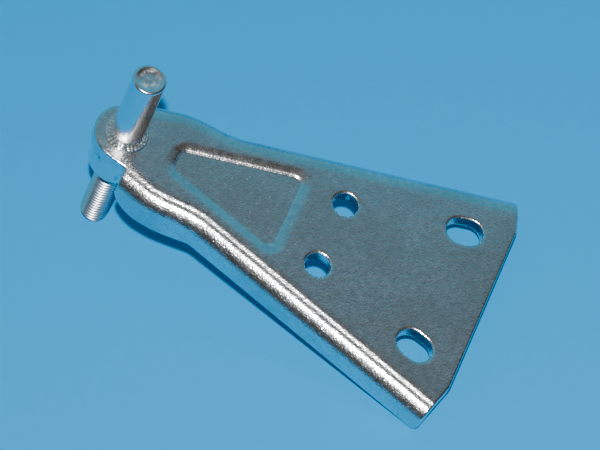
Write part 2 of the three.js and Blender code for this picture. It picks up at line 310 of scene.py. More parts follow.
def half_width(x):
    """Half the bracket's width over its flanges, and its slope, at a distance from the pin."""
    s = min(max((x - SHOULDER_START) / SHOULDER_LENGTH, 0.0), 1.0)
    bulge = 1.0 - s * s * (3.0 - 2.0 * s)
    slope = math.tan(TAPER) - SHOULDER * 6.0 * s * (1.0 - s) / SHOULDER_LENGTH
    return HALF_WIDTH_AT_PIN + x * math.tan(TAPER) + SHOULDER * bulge, slope


def bend_line(x):
    """Where the bend starts, and how much longer a cut across it is than a square one."""
    side, slope = half_width(x)
    lean = math.hypot(1.0, slope)
    s = min(max((x - RELEASE_FROM) / (FLANGE_START - RELEASE_FROM), 0.0), 1.0)
    release = NOSE_RELEASE * (1.0 - s * s * (3.0 - 2.0 * s))
    return side - BEND_RADIUS * lean + release, lean


def unrolled(x, depth):
    """The place on the flat blank of a point on the flange, this far below the plate's top."""
    start, lean = bend_line(x)
    if depth < BEND_RADIUS:
        return start + lean * BEND_RADIUS * math.acos(1.0 - depth / BEND_RADIUS)
    return start + lean * (BEND_RADIUS * math.pi / 2 + depth - BEND_RADIUS)


print("bend starts", round(bend_line(40 * MM)[0] / MM, 2), "mm from the centre line at 40 mm")

# %% Outline of the blank
NOSE_STEPS = 19
SHOULDER_STEPS = 12
RISE_STEPS = 8
CORNER_STEPS = 6
END_STEPS = 12
FLANGE_STEP = 1.0 * MM
OUTLINE_STEP = 0.62 * MM
BLUNT_CORNER = ((0.08 * MM, 0.27 * MM), (0.02 * MM, 0.0), (0.0, -0.27 * MM))


def spaced(points, step):
    """The same path with no gap longer than step."""
    path = []
    for here, there in zip(points, points[1:]):
        count = max(1, math.ceil(math.dist(here, there) / step))
        for i in range(count):
            share = i / count
            path.append(tuple(a + (b - a) * share for a, b in zip(here, there)))
    path.append(points[-1])
    return path


def nose_edge():
    """Round the nose, then straight to where the flange starts."""
    points = []
    for i in range(NOSE_STEPS + 1):
        turn = math.pi - (math.pi / 2 - NOSE_FLARE) * i / NOSE_STEPS
        points.append((NOSE_RADIUS * math.cos(turn), NOSE_RADIUS * math.sin(turn)))
    flare = (FLANGE_START - points[-1][0]) * math.tan(NOSE_FLARE)
    points.append((FLANGE_START, points[-1][1] + flare))
    return points


def shoulder_edge():
    """The flange's lower edge: down to the shoulder, then a gentle rise behind it."""
    points = []
    front = SHOULDER_START - FLANGE_START
    for i in range(SHOULDER_STEPS + 1):
        turn = math.pi / 2 * i / SHOULDER_STEPS
        x = SHOULDER_START - front * math.cos(turn)
        depth = SHOULDER_DEPTH / 2 * (1.0 + math.sin(turn))
        points.append((x, unrolled(x, depth)))
    rise_from, control, rise_to = EDGE_RISE
    for i in range(RISE_STEPS + 1):
        s = i / RISE_STEPS
        x = rise_from * (1 - s) ** 2 + 2 * control * s * (1 - s) + rise_to * s * s
        depth = SHOULDER_DEPTH * (1 - s * s) + FLANGE_DEPTH * s * s
        points.append((x, unrolled(x, depth)))
    return points


def wide_end_edge():
    """The straight flange, its round corner, the slanting end of the bend, and the end."""
    points = []
    tangent = math.tan(TAPER)
    cut = WIDE_END + tangent * STRAIGHT_END
    flange_end = (cut - tangent * HALF_WIDTH_AT_PIN) * math.cos(TAPER) ** 2
    straight = [(EDGE_STRAIGHT_FROM, 0), (flange_end - CORNER_RADIUS, 0)]
    for x, _ in spaced(straight, FLANGE_STEP)[:-1]:
        points.append((x, unrolled(x, FLANGE_DEPTH)))
    for i in range(CORNER_STEPS + 1):
        turn = math.pi / 2 * i / CORNER_STEPS
        x = flange_end - CORNER_RADIUS * (1 - math.sin(turn))
        depth = FLANGE_DEPTH - CORNER_RADIUS * (1 - math.cos(turn))
        points.append((x, unrolled(x, depth)))
    lean = 1.0 / math.cos(TAPER)
    for i in range(END_STEPS + 1):
        turn = math.pi / 2 * (1 - i / END_STEPS)
        side = HALF_WIDTH_AT_PIN - BEND_RADIUS * lean * (1 - math.sin(turn))
        x = (cut - tangent * side) * math.cos(TAPER) ** 2
        points.append((x, unrolled(x, BEND_RADIUS * (1 - math.cos(turn)))))
    for back, past in BLUNT_CORNER:
        points.append((WIDE_END - back, STRAIGHT_END + past))
    points.append((WIDE_END, 0.0))
    return points


# One side of the blank, from the tip of the nose to the middle of the wide end.
half_outline = nose_edge() + shoulder_edge() + wide_end_edge()
upper = spaced(half_outline, OUTLINE_STEP)
lower = [(x, -y) for x, y in reversed(upper)]
outline = upper + lower[1:-1]
print("blank outline:", len(outline), "points")

# %% Openings of the blank
HOLE_RADIUS = 2.7 * MM
HOLE_AT = (46.5 * MM, 8.0 * MM)
SLOT_RADIUS = 3.05 * MM
SLOT_HALF = 0.9 * MM
SLOT_AT = (71.1 * MM, 15.0 * MM)
PIN_HOLE_RADIUS = 4.0 * MM
OPENING_POINTS = 56


def opening(centre, radius, half=0.0, angle=0.0):
    """A round hole, or a slot that lies at an angle."""
    loop = []
    for i in range(OPENING_POINTS):
        turn = 2 * math.pi * (i + 0.5) / OPENING_POINTS
        x = radius * math.cos(turn) + math.copysign(half, math.cos(turn))
        y = radius * math.sin(turn)
        c, s = math.cos(angle), math.sin(angle)
        loop.append((centre[0] + x * c - y * s, centre[1] + x * s + y * c))
    return loop


openings = [opening((0.0, 0.0), PIN_HOLE_RADIUS)]
for side in (1, -1):
    hole_centre = (HOLE_AT[0], side * HOLE_AT[1])
    slot_centre = (SLOT_AT[0], side * SLOT_AT[1])
    openings.append(opening(hole_centre, HOLE_RADIUS))
    openings.append(opening(slot_centre, SLOT_RADIUS, SLOT_HALF, side * TAPER))
print(len(openings), "openings")

# %% [markdown]
# ## The pressed recess
# Between the pin and the holes the press stiffens the plate with a shallow
# tapered recess. It has a soft shoulder above and a crisp line at its floor. A
# Boolean would cut it sharp on both sides, so it is made as a depth that each
# point of the blank carries: how far a point is inside the recess's edge gives
# its share of the full depth, and the press tree multiplies it.

# %% Shape of the recess
RECESS_START = 9.3 * MM
RECESS_END = 38.9 * MM
RECESS_HALF = 4.1 * MM
RECESS_WALL = 2.2 * MM
RECESS_DEPTH = 0.62 * MM
RECESS_ROUND = (3.4 * MM, 4.6 * MM)
RECESS_SOFT = 0.2
RECESS_STEEP = 0.38
RECESS_POWER = 10


def rounded_corner(side, end, radius):
    """How far a point lies inside two edges that meet in a round corner."""
    if min(side, end) >= radius:
        return min(side, end)
    return radius - math.hypot(max(radius - side, 0.0), max(radius - end, 0.0))


def inside_recess(x, y):
    """How far a point of the plate lies inside the recess's edge. Negative outside."""
    half = RECESS_HALF + (x - RECESS_START) * math.tan(TAPER)
    side = (half - abs(y)) * math.cos(TAPER)
    near_pin = rounded_corner(side, x - RECESS_START, RECESS_ROUND[0])
    near_holes = rounded_corner(side, RECESS_END - x, RECESS_ROUND[1])
    return min(near_pin, near_holes)


def recess_share(x, y):
    """Share of the recess's full depth: a soft shoulder, an even slope, then a steep last bit."""
    s = min(max(inside_recess(x, y) / RECESS_WALL, 0.0), 1.0)
    even = s - RECESS_SOFT * (1 - math.exp(-s / RECESS_SOFT))
    even /= 1 - RECESS_SOFT * (1 - math.exp(-1 / RECESS_SOFT))
    return even * (1 - RECESS_STEEP) + s ** RECESS_POWER * RECESS_STEEP


half_way = recess_share(RECESS_START + RECESS_WALL / 2, 0.0)
print("share of the depth half way down the wall:", round(half_way, 2))

# %% Lines that follow the recess's wall
LINE_STEP = 0.42 * MM
SHORTEST_STEP = 0.6 * LINE_STEP
LONGEST_STEP = 1.3 * LINE_STEP
RAYS = 360
HALVINGS = 30
RAY_LENGTH = 20.0 * MM
RECESS_LINES = (0.0, 0.12, 0.3, 0.5, 0.7, 0.82, 0.89, 0.93, 0.97, 1.0, 1.12)


def ray_to_ring(turn, inset):
    """Where a ray from the recess's middle comes this near to its edge, by halving."""
    middle = (RECESS_START + RECESS_END) / 2
    near, far = 0.0, RAY_LENGTH
    for _ in range(HALVINGS):
        reach = (near + far) / 2
        x = middle + reach * math.cos(turn)
        y = reach * math.sin(turn)
        if inside_recess(x, y) > inset:
            near = reach
        else:
            far = reach
    return middle + near * math.cos(turn), near * math.sin(turn)


def recess_ring(inset):
    """The closed line that lies this far inside the recess's edge."""
    loop = [ray_to_ring(2 * math.pi * i / RAYS, inset) for i in range(RAYS)]
    kept = [loop[0]]
    for point in loop[1:]:
        if math.dist(point, kept[-1]) >= LINE_STEP:
            kept.append(point)
    if math.dist(kept[-1], kept[0]) < SHORTEST_STEP:
        kept.pop()
    return spaced(kept + kept[:1], LONGEST_STEP)[:-1]


recess_lines = [recess_ring(share * RECESS_WALL) for share in RECESS_LINES]
print("recess floor line:", len(recess_lines[-2]), "points")

# %% [markdown]
# ## Points and triangles of the blank
# A sheet that will be bent needs points where it bends, along each pressed line,
# and all round its edges. Cutting a grid with Booleans would leave long thin
# faces beside the holes. Here the edges and the recess's lines are kept as they
# are, a regular grid fills the rest, and a constrained triangulation joins them.

# %% Edges of the plate
ROLL_WIDTH = 0.55 * MM
ROLL_DEPTH = 0.38 * MM
GUARD_WIDTH = 0.5 * MM


def outward(loop, into_hole):
    """At each point of a closed loop, the direction out of the material, mitred at corners."""
    around = []
    area = sum(a[0] * b[1] - b[0] * a[1] for a, b in zip(loop, loop[1:] + loop[:1]))
    turn = (1 if area > 0 else -1) * (-1 if into_hole else 1)
    for i, here in enumerate(loop):
        before, after = Vector(loop[i - 1]), Vector(loop[(i + 1) % len(loop)])
        first = (Vector(here) - before).normalized()
        second = (after - Vector(here)).normalized()
        a = Vector((first.y, -first.x)) * turn
        b = Vector((second.y, -second.x)) * turn
        around.append((a + b) / (1.0 + a.dot(b)))
    return around


def moved(loop, normals, distance):
    """The loop with each point moved along its own direction."""
    return [(p[0] + n.x * distance, p[1] + n.y * distance) for p, n in zip(loop, normals)]


def inside(point, loop):
    """Whether a point is inside a closed loop, by counting crossings."""
    x, y = point
    crossings = 0
    for a, b in zip(loop, loop[1:] + loop[:1]):
        if (a[1] > y) != (b[1] > y):
            if x < a[0] + (y - a[1]) * (b[0] - a[0]) / (b[1] - a[1]):
                crossings += 1
    return crossings % 2 == 1


edges = [(outline, outward(outline, False))]
edges += [(loop, outward(loop, True)) for loop in openings]
face_loops = [moved(loop, normals, -ROLL_WIDTH) for loop, normals in edges]
guard_loops = [moved(loop, normals, -ROLL_WIDTH - GUARD_WIDTH) for loop, normals in edges[1:]]
print("plate face has", len(face_loops), "edges")

# %% Cells that find near points fast
class Nearby:
    """Points sorted into square cells, to ask whether any lies within a cell's reach."""

    def __init__(self, reach):
        self.reach = reach
        self.cells = {}

    def key(self, point):
        return (math.floor(point[0] / self.reach), math.floor(point[1] / self.reach))

    def add(self, point):
        self.cells.setdefault(self.key(point), []).append(point)

    def clear_of(self, point):
        column, row = self.key(point)
        for i in (column - 1, column, column + 1):
            for j in (row - 1, row, row + 1):
                for other in self.cells.get((i, j), ()):
                    if math.dist(point, other) < self.reach:
                        return False
        return True


print("cells ready")

# %% Free points between the edges
STATIONS = 122
FLAT_STEP = 0.72 * MM
FEWEST_COLUMNS = 4
NARROWEST_FLAT = 1.0 * MM
BEND_STEPS = 12
BEND_COLUMNS = (1, 5, 6, 7, 8, 9, 10, 11, 12)
PRESS_LINE_AT = 1.5 * MM
PRESS_STEP = 0.2 * MM
PRESS_COLUMNS = range(-4, 6)
FLANGE_COLUMN_STEP = 0.7 * MM
FLANGE_COLUMNS = range(1, 8)
CLEAR = 0.3 * MM


def columns_at(x):
    """Distances from the centre line: over the flat, round the bend, down the flange."""
    start, lean = bend_line(x)
    flat = max(start, NARROWEST_FLAT)
    count = max(FEWEST_COLUMNS, round(flat / FLAT_STEP))
    bend = lean * BEND_RADIUS * math.pi / 2
    reach = [flat * j / count for j in range(count + 1)]
    reach += [start + bend * j / BEND_STEPS for j in BEND_COLUMNS]
    reach += [start + lean * (PRESS_LINE_AT + PRESS_STEP * j) for j in PRESS_COLUMNS]
    reach += [start + bend + FLANGE_COLUMN_STEP * j for j in FLANGE_COLUMNS]
    return reach


def plate_grid():
    """Stations along the bracket, each with its columns on both sides."""
    points = []
    for i in range(STATIONS + 1):
        x = -NOSE_RADIUS + (WIDE_END + NOSE_RADIUS) * i / STATIONS
        reach = columns_at(x)
        points += [(x, y) for y in reach] + [(x, -y) for y in reach if y > 0]
    return points


taken = Nearby(CLEAR)
fixed_loops = face_loops + guard_loops + recess_lines
for loop in fixed_loops:
    for point in loop:
        taken.add(point)
free = [p for p in plate_grid() if taken.clear_of(p)]
free = [p for p in free if inside(p, face_loops[0])]
free = [p for p in free if not any(inside(p, loop) for loop in guard_loops)]
print(len(free), "free points inside the plate")

# %% Triangles of the plate's face
SAME_POINT = 1e-5


def in_plate(point):
    """Whether a point lies on the plate's face, and in none of its openings."""
    return inside(point, face_loops[0]) and not any(inside(point, hole) for hole in face_loops[1:])


def plate_face():
    """The face's points and triangles, and the new number of each point that went in."""
    points, lines = [], []
    for loop in fixed_loops:
        first = len(points)
        points += loop
        lines += [(first + i, first + (i + 1) % len(loop)) for i in range(len(loop))]
    points += free
    vectors = [Vector((x / MM, y / MM)) for x, y in points]
    out, _, faces, origin, _, _ = delaunay_2d_cdt(vectors, lines, [], 0, SAME_POINT)
    place = [(v.x * MM, v.y * MM) for v in out]
    kept = []
    for face in faces:
        middle = tuple(sum(place[i][axis] for i in face) / 3 for axis in (0, 1))
        if in_plate(middle):
            kept.append(face)
    number = {}
    for new, olds in enumerate(origin):
        for old in olds:
            number[old] = new
    return place, kept, number


plate_points, plate_faces, plate_number = plate_face()
print("plate face:", len(plate_points), "points,", len(plate_faces), "triangles")

# %% The blank with its thickness and rolled edges
BURR = 0.14 * MM
ROLL_STEPS = 5
FLATTEST_PAIR = math.radians(2.0)
SQUAREST_PAIR = math.radians(35.0)


def edge_profile():
    """From the top face over the rolled edge and down the cut wall to the lower face."""
    profile = []
    for i in range(1, ROLL_STEPS + 1):
        turn = math.pi / 2 * i / ROLL_STEPS
        profile.append((ROLL_WIDTH * (1 - math.sin(turn)), ROLL_DEPTH * (1 - math.cos(turn))))
    profile += [(0.0, SHEET * 0.4), (0.0, SHEET * 0.7)]
    profile += [(0.0, SHEET - BURR), (BURR * 0.3, SHEET - BURR * 0.3), (BURR, SHEET)]
    return profile


def add_faces(mesh):
    """The two flat faces. Each point keeps its share of the recess's depth."""
    share = mesh.verts.layers.float.new("recess_share")
    top, low = [], []
    for x, y in plate_points:
        for depth, side in ((0.0, top), (SHEET, low)):
            vert = mesh.verts.new((x, y, -depth))
            vert[share] = recess_share(x, y)
            side.append(vert)
    for a, b, c in plate_faces:
        mesh.faces.new((top[a], top[b], top[c]))
        mesh.faces.new((low[c], low[b], low[a]))
    return top, low


def add_edges(mesh, top, low):
    """The rolled edge and cut wall round the blank and round each opening."""
    first = 0
    for loop, normals in edges:
        count = len(loop)
        rows = [[top[plate_number[first + i]] for i in range(count)]]
        for inset, depth in edge_profile():
            ring = moved(loop, normals, -inset)
            rows.append([mesh.verts.new((x, y, -depth)) for x, y in ring])
        rows.append([low[plate_number[first + i]] for i in range(count)])
        for upper_row, lower_row in zip(rows, rows[1:]):
            for i in range(count):
                j = (i + 1) % count
                mesh.faces.new((upper_row[i], upper_row[j], lower_row[j], lower_row[i]))
        first += count


def make_blank():
    """The whole blank, lying flat: points are (along, across, -depth)."""
    mesh = bmesh.new()
    top, low = add_faces(mesh)
    add_edges(mesh, top, low)
    for vert in [v for v in mesh.verts if not v.link_faces]:
        mesh.verts.remove(vert)
    bmesh.ops.join_triangles(
        mesh,
        faces=[f for f in mesh.faces if len(f.verts) == 3],
        angle_face_threshold=FLATTEST_PAIR,
        angle_shape_threshold=SQUAREST_PAIR,
    )
    bmesh.ops.recalc_face_normals(mesh, faces=mesh.faces)
    blank = bpy.data.meshes.new("blank")
    mesh.to_mesh(blank)
    mesh.free()
    return blank


blank = make_blank()
print("blank:", len(blank.vertices), "points,", len(blank.polygons), "faces")

# %% [markdown]
# ## Pressing the blank
# Across the blank, a point first lies on the flat, then runs round a quarter
# turn of the bend radius, then goes straight down the flange. The bend's line
# leans with the taper, and swells out beside the nose. The tree has those sizes
# as named inputs, finds the outer face's point and its normal by formula, and
# sets each point down its own depth below the outer face. A Simple Deform
# modifier bends along one straight line only, and these two lines curve.
#
# A real pressing is never quite true. The flat part is left very slightly
# crowned, and the tool's edge leaves a shallow line along the near bend, the one
# on the side of negative Y. Both are terms of the same formula. The tree also
# keeps how much each point was stretched, for the sheet's finish.

# %% Sizes for the press tree
PRESS_SIZES = {
    "Bend radius": BEND_RADIUS,
    "Half width at pin": HALF_WIDTH_AT_PIN,
    "Taper tangent": math.tan(TAPER),
    "Shoulder": SHOULDER,
    "Shoulder start": SHOULDER_START,
    "Shoulder length": SHOULDER_LENGTH,
    "Flange start": FLANGE_START,
    "Nose release": NOSE_RELEASE,
    "Release from": RELEASE_FROM,
    "Recess depth": RECESS_DEPTH,
    "Press line at": PRESS_LINE_AT,
    "Press line depth": 0.125 * MM,
    "Press line width": 0.60 * MM,
    "Crown slope": 0.022,
    "Plate height": PLATE_TOP,
}
print("press tree has", len(PRESS_SIZES), "sizes")

# %% The press tree
def press_tree():
    """A Geometry Nodes tree that bends the blank as the press does."""
    tree, start, end, size = new_tree("press", PRESS_SIZES, True)
    place = tree.nodes.new("GeometryNodeInputPosition")
    parts = tree.nodes.new("ShaderNodeSeparateXYZ")
    tree.links.new(place.outputs[0], parts.inputs[0])
    along = Formula(tree, parts.outputs["X"])
    across = Formula(tree, parts.outputs["Y"])
    below = Formula(tree, parts.outputs["Z"]) * -1.0
    side = across.math("SIGN")
    reach = across.math("ABSOLUTE")

    # The outer edge's distance from the centre line, its slope, and the bend's line.
    bulge_at = ((along - size["Shoulder start"]) / size["Shoulder length"]).share()
    bulge = bulge_at.eased() * -1.0 + 1.0
    bulge_slope = bulge_at * (bulge_at * -1.0 + 1.0) * -6.0 / size["Shoulder length"]
    outer = size["Half width at pin"] + along * size["Taper tangent"] + size["Shoulder"] * bulge
    slope = size["Taper tangent"] + size["Shoulder"] * bulge_slope
    lean = (slope * slope + 1.0).math("SQRT")
    release_at = (along - size["Release from"]) / (size["Flange start"] - size["Release from"])
    release = size["Nose release"] * (release_at.eased() * -1.0 + 1.0)
    flat = outer - size["Bend radius"] * lean + release

    # How far round the bend, and then how far down the flange.
    beyond = (reach - flat).above(0.0) / lean
    turn = (beyond / size["Bend radius"]).below(math.pi / 2)
    straight = (beyond - size["Bend radius"] * (math.pi / 2)).above(0.0)
    sine = turn.math("SINE")
    cosine = turn.math("COSINE")
    outer_y = reach.below(flat) + size["Bend radius"] * sine * lean
    outer_z = size["Bend radius"] * (cosine - 1.0) - straight
    # The press line: a shallow groove on the near side.
    from_line = (beyond - size["Press line at"]) / size["Press line width"]
    line = (from_line * from_line * -1.0).math("EXPONENT") * size["Press line depth"]
    depth = below + line * (side * -1.0).share()

    # Each point goes inward from the outer face, along its normal, by its own depth.
    new_x = along + depth * slope * sine / lean
    new_y = side * (outer_y - depth * sine / lean)
    recess = tree.nodes.new("GeometryNodeInputNamedAttribute")
    recess.data_type = "FLOAT"
    recess.inputs["Name"].default_value = "recess_share"
    sunk = Formula(tree, recess.outputs["Attribute"]) * size["Recess depth"]
    crown = size["Crown slope"] * 0.5 * reach * reach / outer * cosine
    new_z = outer_z - depth * cosine - sunk - crown + size["Plate height"]

    join = tree.nodes.new("ShaderNodeCombineXYZ")
    for label, value in (("X", new_x), ("Y", new_y), ("Z", new_z)):
        tree.links.new(value.value, join.inputs[label])
    press = tree.nodes.new("GeometryNodeSetPosition")
    tree.links.new(join.outputs[0], press.inputs["Position"])
    keep = tree.nodes.new("GeometryNodeStoreNamedAttribute")
    keep.data_type = "FLOAT"
    keep.domain = "POINT"
    keep.inputs["Name"].default_value = "stretched"
    tree.links.new(start.outputs["Geometry"], keep.inputs["Geometry"])
    tree.links.new((turn * 2.0).math("SINE").value, keep.inputs["Value"])
    tree.links.new(keep.outputs[0], press.inputs["Geometry"])
    finish_tree(tree, start, end, press.outputs[0])
    return tree


sheet_piece = made_by_tree("bracket_sheet", press_tree(), PRESS_SIZES, sheet_zinc, blank)
smooth(sheet_piece, 60.0)
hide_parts("bracket")
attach(sheet_piece, "root")
print("bracket:", len(sheet_piece.data.polygons), "faces")

# %% [markdown]
# ## Finish of the pin: bright zinc on turned steel
# The pin was turned on a lathe, so its marks run round the axis: fine rings on
# the end face, fine bands on the side. The distance from the axis and the height
# feed one stretched noise, which gives both sets of marks in one material. The
# same two numbers say which part of the pin a point is on: the dish in its end is
# scuffed, the collar has dark blemishes, the staked ring and the pin's foot carry
# painted shade, darker where the pin meets the plate, and the thread is duller
# than the pin. Separate materials would leave hard borders.

# %% Sizes of the pin
PIN_RADIUS = 3.5 * MM
SHANK_RADIUS = 3.9 * MM
COLLAR_RADIUS = 5.65 * MM
STUD_RADIUS = 3.0 * MM
STUD_LENGTH = 21.8 * MM
UNDER_PLATE = 0.1 * MM
COLLAR_BOTTOM = pin_low[2] + STUD_LENGTH
COLLAR_TOP = PLATE_TOP - SHEET - UNDER_PLATE
PIN_TOP = pin_high[2]
RIM_ROUNDING = 0.55 * MM
DISH_SLOPE = 0.55 * MM
DISH_RADIUS = PIN_RADIUS - RIM_ROUNDING - DISH_SLOPE
RING_RADIUS = 4.6 * MM
RING_HEIGHT = 0.36 * MM
RING_TOP = PLATE_TOP + RING_HEIGHT
print("pin from", round(pin_low[2] / MM, 1), "to", round(PIN_TOP / MM, 1), "mm high")

# %% Bright zinc on the pin
DARK_ZINC = (0.66, 0.68, 0.70)
LIGHT_ZINC = (0.84, 0.86, 0.88)
BLEMISH = (0.25, 0.25, 0.26)
# Painted shade: a darker colour for the staked ring and the pin's foot, where the pin meets the
# plate.
FOOT_SHADE = (0.26, 0.26, 0.25)
PIN_BUMP = 0.02 * MM

pin_zinc, tree, shader = new_material("bright_zinc")
place = object_place(tree)
parts = tree.nodes.new("ShaderNodeSeparateXYZ")
tree.links.new(place, parts.inputs[0])
across_x = Formula(tree, parts.outputs["X"])
across_y = Formula(tree, parts.outputs["Y"])
height = Formula(tree, parts.outputs["Z"])
radius = (across_x * across_x + across_y * across_y).math("SQRT")
lathe_place = tree.nodes.new("ShaderNodeCombineXYZ")
tree.links.new((radius * 6.0).value, lathe_place.inputs["X"])
tree.links.new((height * 3.0).value, lathe_place.inputs["Y"])
rings = noise(tree, lathe_place.outputs[0], 900.0, detail=3.0, roughness=0.7)
mottle = noise(tree, place, 900.0, detail=4.0)
cloud = noise(tree, place, 160.0, detail=2.0)
blemish = graded(noise(tree, place, 330.0, detail=3.0), 0.60, 0.68)
scuff_noise = noise(tree, place, 450.0, detail=5.0, roughness=0.75)
print("lathe marks and blemishes ready")

# %% Which part of the pin a point is on
# The limits are in millimetres. Each pair is a soft border at a size of the pin.
high_mm = height * (1.0 / MM)
far_mm = radius * (1.0 / MM)
collar_from = graded(high_mm, COLLAR_BOTTOM / MM + 0.7, COLLAR_BOTTOM / MM + 1.7)
on_collar = collar_from * fading(high_mm, COLLAR_TOP / MM - 0.9, COLLAR_TOP / MM + 0.1)
ring_from = graded(high_mm, RING_TOP / MM - 1.0, RING_TOP / MM - 0.8)
in_ring = ring_from * fading(high_mm, RING_TOP / MM + 0.04, RING_TOP / MM + 0.12)
at_foot = fading(high_mm, PLATE_TOP / MM + 0.6, PLATE_TOP / MM + 1.0)
on_stud = fading(high_mm, STUD_LENGTH / MM - 0.8, STUD_LENGTH / MM - 0.2)
on_top = graded(high_mm, PIN_TOP / MM - 0.8, PIN_TOP / MM - 0.5)
in_dish = on_top * fading(far_mm, DISH_RADIUS / MM - 0.3, DISH_RADIUS / MM + 0.2)

grey = blended(tree, mottle, DARK_ZINC, LIGHT_ZINC)
marked = blended(tree, blemish * on_collar * 0.8, grey, BLEMISH)
# The staked ring, the lower part of the beads and the pin's foot are painted darker here: painted
# shade where the pin meets the plate.
shaded_foot = blended(tree, in_ring * 0.4, marked, FOOT_SHADE)
tree.links.new(shaded_foot, shader.inputs["Base Color"])
shader.inputs["Metallic"].default_value = 1.0
scuff = graded(scuff_noise, 0.38, 0.72) * in_dish
dullness = rings * 0.06 + mottle * 0.05 + cloud * 0.04 + 0.05
dullness = dullness + scuff * 0.30 + on_top * 0.06 + on_stud * 0.08
tree.links.new(dullness.value, shader.inputs["Roughness"])
marks = (rings * 0.6 + mottle * 0.5) * (at_foot * -0.8 + in_dish * 0.5 + 1.0)
bumped(tree, marks, PIN_BUMP, shader)
print(pin_zinc.name, "has", len(tree.nodes), "nodes")

# %% [markdown]
# ## The turned pin
# Pin, shank and collar are one turned bar. A bevelled cylinder would do for one
# step, but a bar with several steps and small roundings is easier as a profile
# turned round the axis, which is how a lathe makes it.

# %% Turn a profile round the axis
SIDES = 128


def rounding(radius, height, size, from_turn, steps=6):
    """A quarter round, from_turn a quarter turn earlier than its end."""
    points = []
    for i in range(steps + 1):
        turn = from_turn + math.pi / 2 * i / steps
        points.append((radius + size * math.cos(turn), height + size * math.sin(turn)))
    return points


def oval(mesh, deep, wide, height, count):
    """The points of a level oval round the Z axis, or one point where it has no size."""
    if deep == 0.0:
        return [mesh.verts.new((0.0, 0.0, height))]
    turns = [2 * math.pi * i / count for i in range(count)]
    return [mesh.verts.new((deep * math.cos(t), wide * math.sin(t), height)) for t in turns]


def skin(mesh, rows, count):
    """Faces between rows of points. At a row of one point they are triangles."""
    for low, high in zip(rows, rows[1:]):
        for i in range(count):
            j = (i + 1) % count
            lower = [low[i % len(low)], low[j % len(low)]]
            upper = [high[j % len(high)], high[i % len(high)]]
            mesh.faces.new(list(dict.fromkeys(lower + upper)))


def turned(name, profile, material):
    """Turns (radius, height) points, from the bottom of the axis to its top."""
    mesh = bmesh.new()
    rings = [oval(mesh, radius, radius, height, SIDES) for radius, height in profile]
    skin(mesh, rings, SIDES)
    bmesh.ops.recalc_face_normals(mesh, faces=mesh.faces)
    data = bpy.data.meshes.new(name)
    mesh.to_mesh(data)
    mesh.free()
    data.materials.append(material)
    piece = bpy.data.objects.new(name, data)
    bpy.context.scene.collection.objects.link(piece)
    return piece


print("turning ready")

# %% Profile of the collar, shank and pin
COLLAR_EDGE = 0.35 * MM
COLLAR_FACE = COLLAR_RADIUS - 1.5 * MM
SHANK_END = PLATE_TOP + 0.1 * MM
PIN_START = PLATE_TOP + 0.2 * MM
RIM_DROP = 0.03 * MM
RIM_FLAT = 0.25 * MM
DISH_DEPTH = 0.22 * MM
DISH_FLAT = 1.2 * MM
# Points in the middle of straight stretches, so that no face is long and thin.
COLLAR_MIDDLE = COLLAR_BOTTOM + 4.0 * MM
SHANK_MIDDLE = PLATE_TOP - 0.2 * MM
PIN_MIDDLES = (PLATE_TOP + 3.0 * MM, PLATE_TOP + 8.0 * MM, PIN_TOP - 4.0 * MM)
BELOW_RIM = 0.05 * MM


def collar_profile():
    """From the axis out over the collar's lower face, up its side and in to the shank."""
    inner = COLLAR_RADIUS - COLLAR_EDGE
    profile = [(0.0, COLLAR_BOTTOM), (COLLAR_FACE, COLLAR_BOTTOM)]
    profile += rounding(inner, COLLAR_BOTTOM + COLLAR_EDGE, COLLAR_EDGE, -math.pi / 2)
    profile += [(COLLAR_RADIUS, COLLAR_MIDDLE), (COLLAR_RADIUS, COLLAR_TOP - COLLAR_EDGE)]
    profile += rounding(inner, COLLAR_TOP - COLLAR_EDGE, COLLAR_EDGE, 0.0)[1:]
    profile += [(SHANK_RADIUS, COLLAR_TOP), (SHANK_RADIUS, SHANK_MIDDLE)]
    return profile


def bearing_profile():
    """From the shank up the pin, over its round rim and into the dish in its end."""
    inner = PIN_RADIUS - RIM_ROUNDING
    profile = [(SHANK_RADIUS, SHANK_END), (PIN_RADIUS, PIN_START)]
    profile += [(PIN_RADIUS, height) for height in PIN_MIDDLES]
    profile += [(PIN_RADIUS, PIN_TOP - RIM_ROUNDING - BELOW_RIM)]
    profile += rounding(inner, PIN_TOP - RIM_ROUNDING, RIM_ROUNDING, 0.0)
    profile += [(inner - RIM_FLAT, PIN_TOP - RIM_DROP), (DISH_RADIUS, PIN_TOP - DISH_DEPTH)]
    profile += [(DISH_FLAT, PIN_TOP - DISH_DEPTH), (0.0, PIN_TOP - DISH_DEPTH)]
    return profile


pin_profile = collar_profile() + bearing_profile()
pin_piece = turned("hinge_pin_turned", pin_profile, pin_zinc)
smooth(pin_piece, 35.0)
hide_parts("hinge_pin")
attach(pin_piece, "root")
print("pin:", len(pin_profile), "profile points,", len(pin_piece.data.polygons), "faces")

# %% [markdown]
# ## The stud's thread
# A rolled M6 thread is one groove that climbs a millimetre each turn. A stack of
# rings would look right from one side only, and a Screw modifier leaves open
# ends. The tree here rolls up a flat strip: its length runs round the stud, its
# width is one pitch of the profile, and each turn meets the last along its edge.
# The chamfer and the plain neck are limits on the radius and the height.

# %% Sizes for the thread tree
AROUND = 56
UP_A_PITCH = 12
TURNS_BELOW_TIP = 1.5
SPARE_TURNS = 3
NECK = 0.5 * MM
IN_COLLAR = 0.3 * MM
PITCH = 1.0 * MM
CHAMFER = 0.9 * MM
WELD = 0.002 * MM
TURNS = math.ceil((STUD_LENGTH + IN_COLLAR) / PITCH) + SPARE_TURNS
THREAD_SIZES = {
    "Stud radius": STUD_RADIUS,
    "Pitch": PITCH,
    "Groove depth": 0.61 * MM,
    "Crest share": 0.16,
    "Tip height": pin_low[2],
    "Neck height": COLLAR_BOTTOM - NECK,
    "Top height": COLLAR_BOTTOM + IN_COLLAR,
    "Chamfer": CHAMFER,
}
print("thread strip:", TURNS, "turns")

